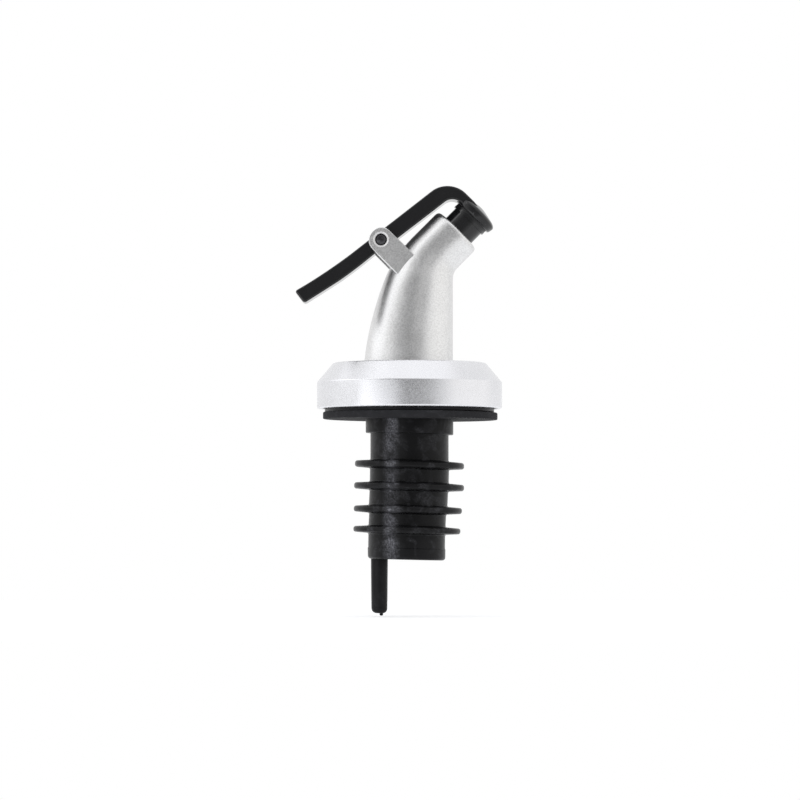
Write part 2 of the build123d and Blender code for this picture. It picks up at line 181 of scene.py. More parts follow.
# %% World
scattered_strength = 0.8
scattered_tint = (0.97, 0.98, 1.0, 1)
white = (1, 1, 1, 1)
dark_corner = Vector((-0.07, -0.95, 0.27)).normalized()  # behind the camera
corner_strength = 0.3
corner_inner, corner_outer = math.cos(math.radians(16)), math.cos(math.radians(56))
world = bpy.data.worlds.new("white room")
bpy.context.scene.world = world
world.use_nodes = True
sky = world.node_tree
sky.nodes.clear()
direction = add(sky, "TexCoord").outputs["Generated"]
toward_corner = add(sky, "VectorMath", {0: direction, 1: dark_corner}, operation="DOT_PRODUCT")
mirrored_strength = ranged(
    sky, toward_corner.outputs["Value"], corner_outer, corner_inner, 1.0, corner_strength,
    interpolation_type="SMOOTHSTEP",
)
straight_look = add(sky, "LightPath").outputs["Is Camera Ray"]
seen_strength = add(sky, "Math", {0: straight_look, 1: mirrored_strength}, operation="MAXIMUM").outputs[0]
scattered = add(sky, "Background", {"Color": scattered_tint, "Strength": scattered_strength}).outputs[0]
seen = add(sky, "Background", {"Color": white, "Strength": seen_strength}).outputs[0]
room = add(sky, "MixShader", {"Fac": seen_directly(sky), 1: scattered, 2: seen}).outputs[0]
add(sky, "OutputWorld", {"Surface": room})
print("world: strength", scattered_strength, "in scattered light and", corner_strength, "in the corner")

# %% Lamps
lamp_aim = Vector((0, 0, 10 * mm))  # every lamp faces this point, near the collar's top


def softbox(name, azimuth, elevation, distance, width, height, brightness, tint):
    """Rectangular lamp; azimuth 0 is the camera's side and 90 the right, and sizes are in metres.

    Its brightness is what its face adds to the white of the room behind it, which counts as 1.
    """
    data = bpy.data.lights.new(name, "AREA")
    data.shape = "RECTANGLE"
    data.size = width
    data.size_y = height
    data.energy = brightness * math.pi * width * height
    data.color = tint
    lamp = bpy.data.objects.new(name, data)
    turn = math.radians(azimuth)
    rise = math.radians(elevation)
    toward = Vector((math.sin(turn) * math.cos(rise), -math.cos(turn) * math.cos(rise), math.sin(rise)))
    lamp.location = lamp_aim + toward * distance
    lamp.rotation_mode = "QUATERNION"
    lamp.rotation_quaternion = toward.to_track_quat("Z", "Y")
    bpy.context.scene.collection.objects.link(lamp)


# name, azimuth, elevation, distance, width, height, brightness, tint
softbox("left_reflector", -37, -7, 0.2, 0.18, 0.05, 1.3, (0.97, 0.98, 1.0))
softbox("left_softbox", -96, 27, 0.5, 0.4, 0.36, 0.6, (0.96, 0.97, 1.0))
softbox("upper_strip", -64, 49, 0.5, 0.05, 0.26, 1.7, (1.0, 1.0, 1.0))
softbox("front_fill", 14, 24, 1.0, 0.2, 0.3, 0.7, (1.0, 0.995, 0.99))
softbox("right_softbox", 84, 12, 0.55, 0.7, 0.5, 0.14, (1.0, 0.95, 0.87))
softbox("top_softbox", 0, 86, 0.5, 0.6, 0.6, 0.24, (0.94, 0.95, 1.0))

# %% Floor
lowest = cad_box[0][2]
floor_gap = 0.05 * mm
floor_half = 0.16  # a small white table, so that polished faces see past it into the dark corner
floor_white = (0.8, 0.8, 0.8, 1)
floor_glow = 0.42  # lifts the floor to white where the camera, gloss or glass looks at it


def placed(name, form):
    """Object in the scene that holds a form; the form itself is freed."""
    mesh = bpy.data.meshes.new(name)
    form.to_mesh(mesh)
    form.free()
    made = bpy.data.objects.new(name, mesh)
    bpy.context.scene.collection.objects.link(made)
    return made


floor_form = bmesh.new()
bmesh.ops.create_grid(floor_form, x_segments=1, y_segments=1, size=floor_half)
bmesh.ops.translate(floor_form, verts=floor_form.verts, vec=(0, 0, lowest - floor_gap))
floor = placed("floor", floor_form)
floor_paint = bpy.data.materials.new("white floor")
floor_paint.use_nodes = True
floor_tree = floor_paint.node_tree
floor_shader = floor_tree.nodes["Principled BSDF"]
floor_shader.inputs["Base Color"].default_value = floor_white
floor_shader.inputs["Roughness"].default_value = 1.0
floor_shader.inputs["Specular IOR Level"].default_value = 0.0
floor_shader.inputs["Emission Color"].default_value = white
glow = product(floor_tree, seen_directly(floor_tree), floor_glow)
floor_tree.links.new(glow, floor_shader.inputs["Emission Strength"])
floor.data.materials.append(floor_paint)
print("floor at", round((lowest - floor_gap) / mm, 2), "mm")

# %% [markdown]
# ## Finishes
# Two effects repeat over the object. Silver spray paint holds metal flakes of about a fifth of a
# millimetre, each of which mirrors a little more or less than the next. Moulded black pieces have a
# faint orange peel, and dust settles on them in patches. A lighter streak down the sleeve's near
# side, left of the middle, is powder mixed with a painted highlight where a lamp shines on it. Each
# effect is a node group, so that every finish only sets its own values.

# %% An effect as a node group
noise_low, noise_high = 0.3, 0.7  # where a noise has most of its values


def effect(name, inputs):
    """Empty node group with named inputs that puts out a colour, a roughness and a height."""
    tree = bpy.data.node_groups.new(name, "ShaderNodeTree")
    for label, value in inputs.items():
        kind = "NodeSocketFloat" if isinstance(value, float) else "NodeSocketColor"
        socket = tree.interface.new_socket(name=label, in_out="INPUT", socket_type=kind)
        socket.default_value = value
    for label, kind in (("Base Color", "Color"), ("Roughness", "Float"), ("Height", "Float")):
        tree.interface.new_socket(name=label, in_out="OUTPUT", socket_type="NodeSocket" + kind)
    return tree, tree.nodes.new("NodeGroupInput").outputs, tree.nodes.new("NodeGroupOutput").inputs


# %% Silver spray
cloud_scale = 160.0
cloud_swing = 0.03  # how far the clouds shift tone and roughness either way
flake_dulling = 0.12  # how much rougher the lightest flake is than the darkest
spray, given, spray_out = effect(
    "silver spray", {"Tone": (0.5, 0.5, 0.5, 1), "Gloss": 0.3, "Flakes": 5200.0, "Contrast": 0.2}
)
spot = add(spray, "TexCoord").outputs["Object"]
flake = add(spray, "TexVoronoi", {"Vector": spot, "Scale": given["Flakes"]}).outputs["Color"]
flake = add(spray, "SeparateColor", {"Color": flake}).outputs["Red"]
cloud = add(spray, "TexNoise", {"Vector": spot, "Scale": cloud_scale, "Detail": 3.0}).outputs["Fac"]
cloud = ranged(spray, cloud, noise_low, noise_high, -cloud_swing, cloud_swing)
uneven = sum_of(spray, product(spray, sum_of(spray, flake, -0.5), given["Contrast"]), 1.0)
uneven = sum_of(spray, uneven, cloud)
spray.links.new(mixed(spray, 1.0, given["Tone"], uneven, "MULTIPLY"), spray_out["Base Color"])
dull = sum_of(spray, sum_of(spray, given["Gloss"], cloud), product(spray, flake, flake_dulling))
spray.links.new(dull, spray_out["Roughness"])
bumps = add(spray, "TexNoise", {"Vector": spot, "Scale": given["Flakes"], "Detail": 1.0})
spray.links.new(bumps.outputs["Fac"], spray_out["Height"])
print("silver spray:", len(spray.nodes), "nodes")

# %% Moulded black
patch_scale, speck_scale = 330.0, 3200.0
# tone of the dust, and of the painted highlight in the near-side streak
dust_and_sheen_tone = (0.3, 0.3, 0.33, 1)
dust_dulling = 0.6
peel_swing = 0.04
powder_and_sheen_x = -3.8 * mm  # painted highlight mixed with powder, in a streak down the near side, left of the middle
powder_and_sheen_core, powder_and_sheen_edge = 0.5 * mm, 1.9 * mm  # full to this far beside its line, and none from here
powder_and_sheen_near, powder_and_sheen_far = -5.0 * mm, -3.0 * mm  # full this far to the near side, and none behind this
moulded, given, moulded_out = effect(
    "moulded black",
    {"Tone": (0.01, 0.01, 0.01, 1), "Gloss": 0.4, "Peel": 900.0, "Dust": 0.3, "Powder and sheen": 0.0},
)
spot = add(moulded, "TexCoord").outputs["Object"]
peel = add(moulded, "TexNoise", {"Vector": spot, "Scale": given["Peel"], "Detail": 2.0}).outputs["Fac"]
patch = add(moulded, "TexNoise", {"Vector": spot, "Scale": patch_scale, "Detail": 4.0, "Distortion": 0.8})
patch = patch.outputs["Fac"]
speck = add(moulded, "TexNoise", {"Vector": spot, "Scale": speck_scale, "Detail": 2.0}).outputs["Fac"]
place = add(moulded, "SeparateXYZ", {"Vector": spot}).outputs
beside = sum_of(moulded, place["X"], -powder_and_sheen_x)
beside = add(moulded, "Math", {0: beside}, operation="ABSOLUTE").outputs[0]
# painted highlight: the streak lightens the near side, left of the middle, where a lamp shines; powder is mixed in
powder_and_sheen_streak = product(
    moulded,
    ranged(moulded, beside, powder_and_sheen_core, powder_and_sheen_edge, 1.0, 0.0),
    ranged(moulded, place["Y"], powder_and_sheen_near, powder_and_sheen_far, 1.0, 0.0),
)
powder_and_sheen_streak = product(moulded, powder_and_sheen_streak, ranged(moulded, patch, 0.35, 0.6, 0.15, 1.0))
dust_and_sheen = product(moulded, ranged(moulded, patch, 0.5, 0.72), given["Dust"])
# adds the streak's painted highlight to the dust
dust_and_sheen = sum_of(moulded, dust_and_sheen, product(moulded, powder_and_sheen_streak, given["Powder and sheen"]))
dust_and_sheen = product(moulded, dust_and_sheen, ranged(moulded, speck, 0.4, 0.75, 0.25, 1.0))
dust_and_sheen_colour = mixed(moulded, dust_and_sheen, given["Tone"], dust_and_sheen_tone)
moulded.links.new(dust_and_sheen_colour, moulded_out["Base Color"])
dull = sum_of(moulded, given["Gloss"], product(moulded, dust_and_sheen, dust_dulling))
dull = sum_of(moulded, dull, ranged(moulded, peel, noise_low, noise_high, -peel_swing, peel_swing))
moulded.links.new(dull, moulded_out["Roughness"])
moulded.links.new(peel, moulded_out["Height"])
print("moulded black:", len(moulded.nodes), "nodes")

# %% Every finish


def finish(name, group, values, metallic, specular, bump):
    """Material with one effect; bump is how deep its relief is, in millimetres."""
    material = bpy.data.materials.new(name)
    material.use_nodes = True
    tree = material.node_tree
    shader = tree.nodes["Principled BSDF"]
    shader.inputs["Metallic"].default_value = metallic
    shader.inputs["Specular IOR Level"].default_value = specular
    effect_node = add(tree, "Group", node_tree=group)
    for label, value in values.items():
        effect_node.inputs[label].default_value = value
    tree.links.new(effect_node.outputs["Base Color"], shader.inputs["Base Color"])
    tree.links.new(effect_node.outputs["Roughness"], shader.inputs["Roughness"])
    relief = add(tree, "Bump", {"Height": effect_node.outputs["Height"], "Distance": bump * mm})
    tree.links.new(relief.outputs["Normal"], shader.inputs["Normal"])
    return material


def black(level):
    """Neutral dark tone with a breath of blue."""
    return (level, level, level * 1.08, 1)


body_silver = finish(
    "spout silver", spray, {"Tone": (0.72, 0.72, 0.72, 1), "Gloss": 0.3, "Contrast": 0.24},
    metallic=0.96, specular=0.5, bump=0.004,
)
ring_silver = finish(
    "collar silver", spray, {"Tone": (0.75, 0.752, 0.775, 1), "Gloss": 0.24, "Contrast": 0.08},
    metallic=0.96, specular=0.5, bump=0.002,
)
lever_black = finish(
    "lever black", moulded, {"Tone": black(0.011), "Gloss": 0.07, "Peel": 300.0, "Dust": 0.015},
    metallic=0, specular=0.38, bump=0.004,
)
tip_black = finish(
    "tip black", moulded, {"Tone": black(0.01), "Gloss": 0.12, "Peel": 500.0, "Dust": 0.02},
    metallic=0, specular=0.45, bump=0.004,
)
# the rubber's streak is a painted highlight mixed with powder
rubber_black = finish(
    "rubber black", moulded,
    {"Tone": black(0.009), "Gloss": 0.33, "Peel": 1100.0, "Dust": 0.2, "Powder and sheen": 0.8},
    metallic=0, specular=0.12, bump=0.012,
)
stem_black = finish(
    "moulding black", moulded, {"Tone": black(0.01), "Gloss": 0.33, "Peel": 700.0, "Dust": 0.06},
    metallic=0, specular=0.12, bump=0.006,
)
washer_black = finish(
    "washer rubber", moulded, {"Tone": black(0.027), "Gloss": 0.72, "Peel": 1100.0, "Dust": 0.1},
    metallic=0, specular=0.06, bump=0.012,
)
seal_black = finish(
    "seal rubber", moulded, {"Tone": black(0.012), "Gloss": 0.45, "Peel": 900.0, "Dust": 0.05},
    metallic=0, specular=0.4, bump=0.01,
)
pin_dark = finish(
    "pin steel", spray, {"Tone": (0.06, 0.06, 0.065, 1), "Gloss": 0.12, "Contrast": 0.05},
    metallic=0.8, specular=0.5, bump=0.002,
)
wire_steel = finish(
    "spring steel", spray, {"Tone": (0.5, 0.5, 0.5, 1), "Gloss": 0.2, "Contrast": 0.06},
    metallic=1.0, specular=0.5, bump=0.002,
)
print("finishes:", [m.name for m in bpy.data.materials])

# %% [markdown]
# ## How a piece becomes an object
# Every new piece is a bmesh that is handed over once its shape is done. Its faces are shaded
# smooth and its edges stay crisp where two faces meet at more than a set angle.

# %% Finished piece


def finished(name, form, body, crisp=32):
    """Object made of a bmesh, riding on a body, with crisp edges above an angle in degrees."""
    piece = placed(name, form)
    piece.data.shade_smooth()
    piece.data.set_sharp_from_angle(angle=math.radians(crisp))
    flat = piece.modifiers.new("flat faces stay flat", "WEIGHTED_NORMAL")
    flat.keep_sharp = True
    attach(piece, body)
    print(name, len(piece.data.vertices), "vertices")
    return piece


def cleaned(form):
    """Merges what lies on one place and turns every face outwards."""
    bmesh.ops.remove_doubles(form, verts=form.verts, dist=0.001 * mm)
    bmesh.ops.recalc_face_normals(form, faces=form.faces)
    return form


# %% [markdown]
# ## Turned pieces
# Collar, washer, stopper, breather tube, pin and the lever's cap are round, so each is a closed
# outline spun about an axis. A corner of the outline is rounded before the spin, which gives an
# even edge all the way round. Holes are cut with plain rods made in the same way.

# %% Outlines and spins


def outline_face(form, corners, place, arc=5):
    """Flat face with (u, v, rounding) corners in millimetres; place turns u and v into a point.

    Each rounding is an arc of so many chords.
    """
    made = [form.verts.new(place(u * mm, v * mm)) for u, v, _ in corners]
    form.faces.new(made)
    for vertex, (_, _, rounding) in zip(made, corners):
        if rounding:
            bmesh.ops.bevel(
                form, geom=[vertex], offset=rounding * mm, affect="VERTICES",
                segments=arc, profile=0.5, material=-1, clamp_overlap=False,
            )


def turned(corners, turns=128):
    """Closed form spun about Z from (radius, height, rounding) corners in millimetres."""
    form = bmesh.new()
    outline_face(form, corners, lambda u, v: (u, 0, v))
    bmesh.ops.delete(form, geom=form.faces[:], context="FACES_ONLY")
    on_axis = [e for e in form.edges if all(v.co.x < 0.001 * mm for v in e.verts)]
    bmesh.ops.delete(form, geom=on_axis, context="EDGES")
    bmesh.ops.spin(
        form, geom=form.verts[:] + form.edges[:], cent=(0, 0, 0), axis=(0, 0, 1),
        angle=2 * math.pi, steps=turns, use_merge=True,
    )
    return cleaned(form)


def moved(form, matrix):
    """The whole form, moved by a matrix."""
    bmesh.ops.transform(form, matrix=matrix, verts=form.verts)
    return form


def rod(radius, low, high, rounding=0):
    """Corners of a plain rod from one height to another, for turned."""
    return [(0, low, 0), (radius, low, rounding), (radius, high, rounding), (0, high, 0)]


def after_modifiers(shape):
    """Form of an object with its modifiers applied."""
    graph = bpy.context.evaluated_depsgraph_get()
    form = bmesh.new()
    form.from_mesh(bpy.data.meshes.new_from_object(shape.evaluated_get(graph)))
    return form


def carved(whole, tool, operation):
    """A form after an exact union with, or cut by, another one."""
    shape = placed("shape", whole)
    cutter = placed("cutter", tool)
    modifier = shape.modifiers.new("carve", "BOOLEAN")
    modifier.operation = operation
    modifier.object = cutter
    modifier.solver = "EXACT"
    result = after_modifiers(shape)
    for used in (shape, cutter):
        bpy.data.objects.remove(used)
    return result


# %% [markdown]
# ## Collar ring
# The collar is a moulded ring with a straight band and a wide slanting shoulder, sprayed silver.
# The spray rounds its edges a little. It is spun, with larger roundings on its lower edge and
# round its top, and a small one where the band turns into the shoulder. Inside it, two recesses
# make room for the stem's plate and for the spout's foot.

# %% Collar ring
collar_low, collar_high = (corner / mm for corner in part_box("collar_ring"))
collar_radius = collar_high.x
band_height = 5.27
band_top = collar_low.z + band_height
shoulder_radius = 15.65
lip_drop = 0.17  # the outer edge reaches a little down over the plate
lip_start, lip_inner = 17.55, 17.65
plate_recess, plate_roof = 16.04, 5.4
foot_recess, foot_roof = 14.0, 9.62
spout_hole = 9.25
collar_corners = [
    (plate_recess, collar_low.z, 0.1),
    (lip_start, collar_low.z, 0),
    (lip_inner, collar_low.z - lip_drop, 0.05),
    (collar_radius, collar_low.z - lip_drop, 0.4),
    (collar_radius, band_top, 0.12),
    (shoulder_radius, collar_high.z, 0.35),
    (spout_hole, collar_high.z, 0.12),
    (spout_hole, foot_roof, 0),
    (foot_recess, foot_roof, 0),
    (foot_recess, plate_roof, 0),
    (plate_recess, plate_roof, 0),
]
collar = finished("collar", turned(collar_corners, turns=192), "spout")
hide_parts("collar_ring")

# %% [markdown]
# ## Spout body
# The spout is one moulding: a foot, a rise that leans its back towards the front, an elbow and a
# straight nozzle. Round sections along its middle line are bridged, and one subdivision surface
# smooths the run between them, as a mould maker would blend the sections.

# %% Sections of the spout
foot_radius = 9.15
elbow_radius = 7.0
nozzle_radius = 5.5
front_line = 8.95
foot_low = 7.42
collar_top = 11.6
elbow_height = 29.0
front_bend = 3.0
wall = 1.4
throat_radius = 3.0
centre_drift = 0.2  # the nozzle's outside lies this far above the middle of its bore
foot_centre = -0.2
even_taper, late_taper = 0.42, 0.58  # shares of the taper that grow evenly and towards the elbow
elbow_ease = 1.7  # how fast the elbow takes the nozzle's radius


def leaning(lean, radius, front_x, front_z):
    """Place and radius of a round section whose front edge lies at a given point."""
    centre = Vector((front_x - radius * math.cos(lean), 0, front_z + radius * math.sin(lean)))
    return Matrix.Translation(centre * mm) @ Matrix.Rotation(lean, 4, "Y"), radius * mm


def rise(thickness, steps=9):
    """Level sections from the collar's top to the elbow."""
    for step in range(steps + 1):
        share = step / steps
        taper = even_taper * share + late_taper * share**2
        radius = foot_radius + (elbow_radius - foot_radius) * taper
        height = collar_top + (elbow_height - collar_top) * share
        yield leaning(0, radius - thickness, front_line - thickness, height)


def elbow(thickness, end_radius, steps=6):
    """Sections that lean over into the nozzle round a small bend of the front edge."""
    for step in range(1, steps + 1):
        share = step / steps
        lean = nozzle_lean * share
        fade = (1 - share) ** elbow_ease
        radius = end_radius + (elbow_radius - thickness - end_radius) * fade
        # how deep the bore's front edge lies inside the nozzle
        depth = nozzle_radius - centre_drift - end_radius if thickness else 0.0
        inset = depth + (thickness - depth) * fade
        front_x = front_line + front_bend * (1 - math.cos(lean)) - inset * math.cos(lean)
        front_z = elbow_height + front_bend * math.sin(lean) + inset * math.sin(lean)
        yield leaning(lean, radius, front_x, front_z)


def straight(*stations, drift=0.0):
    """Sections of the nozzle at (distance behind its face, radius)."""
    for back, radius in stations:
        yield to_nozzle @ Matrix.Translation((-drift * mm, 0, -back * mm)), radius * mm


def level(*stations):
    """Level sections of the foot at (height, radius)."""
    for height, radius in stations:
        yield Matrix.Translation(Vector((foot_centre, 0, height)) * mm), radius * mm


# %% Shell of the spout
flange_radius = 13.3
flange = ((foot_low, flange_radius), (9.45, flange_radius), (9.58, 13.2), (9.6, 9.3), (9.75, foot_radius))
nozzle_rim = ((3.6, 0), (1.6, 0), (0.85, 0), (0.3, 0.17), (0.04, 0.5), (0, 0.9))  # (behind, drop)
nozzle_bore = ((0.02, 3.95), (0.07, 3.78), (0.3, 3.74), (4.8, 3.74), (5.0, 3.7), (5.02, 3.1))
foot_bore = ((9.0, foot_radius - wall), (7.6, foot_radius - wall), (foot_low, 7.85))
underside = ((foot_low - 0.02, 8.1), (foot_low + 0.01, 13.0))
nozzle_outside = [(back, nozzle_radius - drop) for back, drop in nozzle_rim]
outside = [*level(*flange), *rise(0), *elbow(0, nozzle_radius)]
outside += straight(*nozzle_outside, drift=centre_drift)
inside = [*straight(*nozzle_bore), *reversed(list(elbow(wall, throat_radius))), *reversed(list(rise(wall)))]
inside += [*level(*foot_bore), *level(*underside)]


def bridged(sections, sides=64):
    """Closed shell through a loop of round sections."""
    form = bmesh.new()
    loops = []
    for place, radius in sections:
        made = bmesh.ops.create_circle(form, segments=sides, radius=radius, matrix=place)
        loops.append(list({edge for vertex in made["verts"] for edge in vertex.link_edges}))
    for first, second in zip(loops, loops[1:] + loops[:1]):
        bmesh.ops.bridge_loops(form, edges=first + second)
    bmesh.ops.recalc_face_normals(form, faces=form.faces)
    return form


def subdivided(form, levels):
    """The form after a Catmull-Clark subdivision."""
    cage = placed("cage", form)
    modifier = cage.modifiers.new("smooth", "SUBSURF")
    modifier.levels = levels
    modifier.render_levels = levels
    result = after_modifiers(cage)
    bpy.data.objects.remove(cage)
    return result


shell = subdivided(bridged(outside + inside), levels=2)
print("spout shell", len(shell.verts), "vertices")

# %% [markdown]
# ## Ears
# Two flat ears stand on the spout and hold the pin. Each is a plate with a rounded free end, sunk
# into the spout and united with it, so that one clean line runs where plate and spout meet.

# %% Plates


def plate(corners, place, low, high, arc=5):
    """Closed plate with an outline of (u, v, rounding) corners, from y low to y high."""
    form = bmesh.new()
    outline_face(form, corners, lambda u, v: place(u, low, v), arc)
    made = bmesh.ops.extrude_face_region(form, geom=form.faces[:], use_keep_orig=True)
    risen = [part for part in made["geom"] if isinstance(part, bmesh.types.BMVert)]
    bmesh.ops.translate(form, verts=risen, vec=(0, high - low, 0))
    return cleaned(form)


def bevel_rim(form, y, offset, segments=3):
    """Rounds the edges of a plate's face at one y."""
    rim = [e for e in form.edges if all(abs(v.co.y - y) < 0.001 * mm for v in e.verts)]
    rim = [e for e in rim if any(abs(f.normal.y) < 0.5 for f in e.link_faces)]
    bmesh.ops.bevel(
        form, geom=rim, offset=offset, affect="EDGES", segments=segments, profile=0.5,
        material=-1, clamp_overlap=True,
    )
    return form


def in_nozzle(u, y, v):
    """Point at u along the nozzle from its face and v below its middle line."""
    point = face_centre + pour_way * u + across_way * v
    return (point.x, y, point.z)


pivot_along = (pivot - face_centre).dot(pour_way) / mm
pivot_below = (pivot - face_centre).dot(across_way) / mm
ear_top, ear_foot = pivot_below - 2.4, pivot_below + 8.2
ear_corners = [
    (pivot_along + 2.5, ear_top, 2.3),
    (pivot_along + 2.63, ear_foot, 0),
    (pivot_along - 2.75, ear_foot, 0),
    (pivot_along - 2.6, ear_top, 2.45),
]
ear_inner, ear_outer = 3.7, 5.2
ear_bevel = 0.22
for side in (-1, 1):
    low, high = sorted((side * ear_inner * mm, side * ear_outer * mm))
    ear = bevel_rim(plate(ear_corners, in_nozzle, low, high), side * ear_outer * mm, ear_bevel * mm)
    shell = carved(shell, ear, "UNION")

# %% Pin holes
pin_radius = 1.2
across_pivot = Matrix.Translation(pivot) @ Matrix.Rotation(math.radians(90), 4, "X")
sink, flare = 0.3, 0.38  # depth and widening of the hole's sunk edge
clearance = 0.03
beyond = 0.5  # the cutting form goes on this far outside the ears
hole_radius, hole_end = pin_radius + clearance, ear_outer + beyond
flare_end = pin_radius + flare * (1 + beyond / sink)
hole_corners = [
    (0, -hole_end, 0),
    (flare_end, -hole_end, 0),
    (hole_radius, -ear_outer + sink, 0),
    (hole_radius, ear_outer - sink, 0),
    (flare_end, hole_end, 0),
    (0, hole_end, 0),
]
shell = carved(shell, moved(turned(hole_corners, 64), across_pivot), "DIFFERENCE")
spout = finished("spout", shell, "spout", crisp=28)
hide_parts("spout_body")

# %% Pin
pin_end = ear_outer - 0.12  # its heads lie a little inside the ears' faces
crown_radius, crown_drop, edge_drop = 0.62, 0.07, 0.42
pin_corners = [
    (0, -pin_end, 0),
    (crown_radius, -pin_end + crown_drop, 0.4),
    (pin_radius, -pin_end + edge_drop, 0.3),
    (pin_radius, pin_end - edge_drop, 0.3),
    (crown_radius, pin_end - crown_drop, 0.4),
    (0, pin_end, 0),
]
pin = finished("hinge_pin", moved(turned(pin_corners, 64), across_pivot), "spout", crisp=60)
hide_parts("pivot_pin")

# %% [markdown]
# ## Stopper
# The soft sleeve with its four fins is the part that grips the bottle. It is moulded in rubber,
# sits a little askew on its plate and hangs a little to one side, so the finished form is tilted
# and bent by one smooth rule. The stem inside it and the breather tube follow the same rule.

# %% How the stopper leans
tilt = math.tan(math.radians(1.5))  # its left side is the higher one
tilt_full = -2.5  # the tilt is complete from this height down
drift = -0.6  # sideways shift of the lower end
drift_from, drift_to = -10.0, -26.0


def askew(form):
    """Tilts and bends a form of the stopper; nothing moves at the bottle's lip."""
    for vertex in form.verts:
        x, z = vertex.co.x / mm, vertex.co.z / mm
        share = min(1.0, max(0.0, z / tilt_full))
        sink = min(1.0, max(0.0, (z - drift_from) / (drift_to - drift_from)))
        smooth = sink * sink * (3 - 2 * sink)
        vertex.co.x += drift * smooth * mm
        vertex.co.z -= x * tilt * share * mm
    form.normal_update()
    return form


# %% Stopper and fins
sleeve_inner = 7.24
rim_radius = 9.0
rim_top, rim_low = 0.3, -2.98
sleeve_radii = (8.03, 8.11, 8.06, 7.9, 7.88)  # under the rim and under each fin
sleeve_step = -26.4  # below this height the sleeve is a hair wider
step_swell, end_swell = 0.1, 0.06
stopper_low = -28.75
root = 0.22  # each fin widens by this much where it grows out of the sleeve
fins = ((-9.34, 11.2, 1.26), (-13.82, 11.28, 1.24), (-18.55, 11.1, 1.18), (-22.72, 10.98, 1.14))
stopper_corners = [
    (sleeve_inner, rim_top, 0),
    (rim_radius, rim_top, 0),
    (rim_radius, rim_low, 0.22),
    (sleeve_radii[0], rim_low, 0.12),
]
for (height, radius, thickness), above, below in zip(fins, sleeve_radii, sleeve_radii[1:]):
    half = thickness / 2
    stopper_corners += [
        (above, height + half + root, 0.3),
        (radius, height + half, 0.45),
        (radius, height - half, 0.45),
        (below, height - half - root, 0.3),
    ]
stopper_corners += [
    (sleeve_radii[-1], sleeve_step, 0.05),
    (sleeve_radii[-1] + step_swell, sleeve_step - step_swell, 0.05),
    (sleeve_radii[-1] + end_swell, stopper_low, 0.6),
    (sleeve_inner, stopper_low, 0.2),
]
stopper_form = askew(turned(stopper_corners, turns=160))
stopper = finished("rubber_stopper", stopper_form, "spout", crisp=50)
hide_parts("stopper")

# %% [markdown]
# ## Sealing washer
# A flat rubber ring lies under the plate and seals on the bottle's lip. It is not perfectly
# level, so its spun form is turned a third of a degree about the line of sight.

# %% Washer
washer_inner, washer_radius = 7.3, 17.93
washer_top = 1.45
rim_recess = 9.05  # the stopper's rim lies inside this radius
washer_shift = 0.15
washer_corners = [
    (washer_inner, rim_top, 0),
    (rim_recess, rim_top, 0),
    (rim_recess, 0.0, 0.1),
    (washer_radius, 0.0, 0.2),
    (washer_radius, washer_top, 0.3),
    (washer_inner, washer_top, 0),
]
washer_turn = Matrix.Rotation(math.radians(0.33), 4, "Y")
washer_place = Matrix.Translation((washer_shift * mm, 0, 0)) @ washer_turn
washer_form = moved(turned(washer_corners, turns=160), washer_place)
washer = finished("sealing_washer_ring", washer_form, "spout", crisp=50)
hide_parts("sealing_washer")

# %% [markdown]
# ## Stem and breather tube
# The moulded stem fills the sleeve, so a copy of its packed form is bent by the sleeve's rule.
# The breather tube hangs from it: a plain tube with a rounded end, a slight taper and a small
# nub left from its moulding, closed at the bottom with a side port on the far side.

# %% Stem
same_place = 0.0005 * mm  # vertices nearer than this are one
cuts, first_cut, cut_gap = 14, -1.0, 1.9  # level cuts give the bend something to move
stem = bmesh.new()
stem.from_mesh(nodes["stopper_core"].data)
bmesh.ops.remove_doubles(stem, verts=stem.verts, dist=same_place)
bmesh.ops.dissolve_limit(
    stem, angle_limit=math.radians(0.5), verts=stem.verts[:], edges=stem.edges[:],
)
for step in range(cuts):
    cut_height = first_cut - cut_gap * step
    bmesh.ops.bisect_plane(
        stem, geom=stem.verts[:] + stem.edges[:] + stem.faces[:], dist=same_place,
        plane_co=(0, 0, cut_height * mm), plane_no=(0, 0, 1),
    )
core = finished("stem_and_plate", askew(cleaned(stem)), "spout")
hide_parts("stopper_core")

# %% Breather tube
tube_x = -5.58
tube_top, taper_from, tube_low = -19.5, -28.0, -39.9
tube_radius, tube_end_radius, tube_bore = 1.75, 1.64, 1.0
tube_floor = 2.5  # how thick its closed end is
port_y, port_height = 1.7, -36.6
port_radius, port_half = 0.7, 1.5
nub_x, nub_radius, nub_top, nub_low = tube_x + 0.4, 0.36, -39.3, -40.39
tube_corners = [
    (tube_bore, tube_top, 0),
    (tube_radius, tube_top, 0),
    (tube_radius, taper_from, 0),
    (tube_end_radius, tube_low, 1.0),
    (0, tube_low, 0),
    (0, tube_low + tube_floor, 0),
    (tube_bore, tube_low + tube_floor, 0),
]
tube_form = moved(turned(tube_corners, 64), Matrix.Translation((tube_x * mm, 0, 0)))
port_place = Matrix.Translation((tube_x * mm, port_y * mm, port_height * mm))
port_place = port_place @ Matrix.Rotation(math.radians(90), 4, "X")
port_form = moved(turned(rod(port_radius, -port_half, port_half), 32), port_place)
tube_form = carved(tube_form, port_form, "DIFFERENCE")
nub_corners = [(0, nub_top, 0), (nub_radius, nub_top, 0), (nub_radius, nub_low, 0.26), (0, nub_low, 0)]
nub_form = moved(turned(nub_corners, 32), Matrix.Translation((nub_x * mm, 0, 0)))
tube_form = askew(carved(tube_form, nub_form, "UNION"))
for vertex in tube_form.verts:
    vertex.co.z = max(vertex.co.z, nub_low * mm)
breather = finished("breather", tube_form, "spout", crisp=40)
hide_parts("breather_tube")

# %% [markdown]
# ## Torsion spring
# A steel wire is wound round the pin inside the lever's window. One leg lies in the lever's tail
# and the other presses on the spout's back.

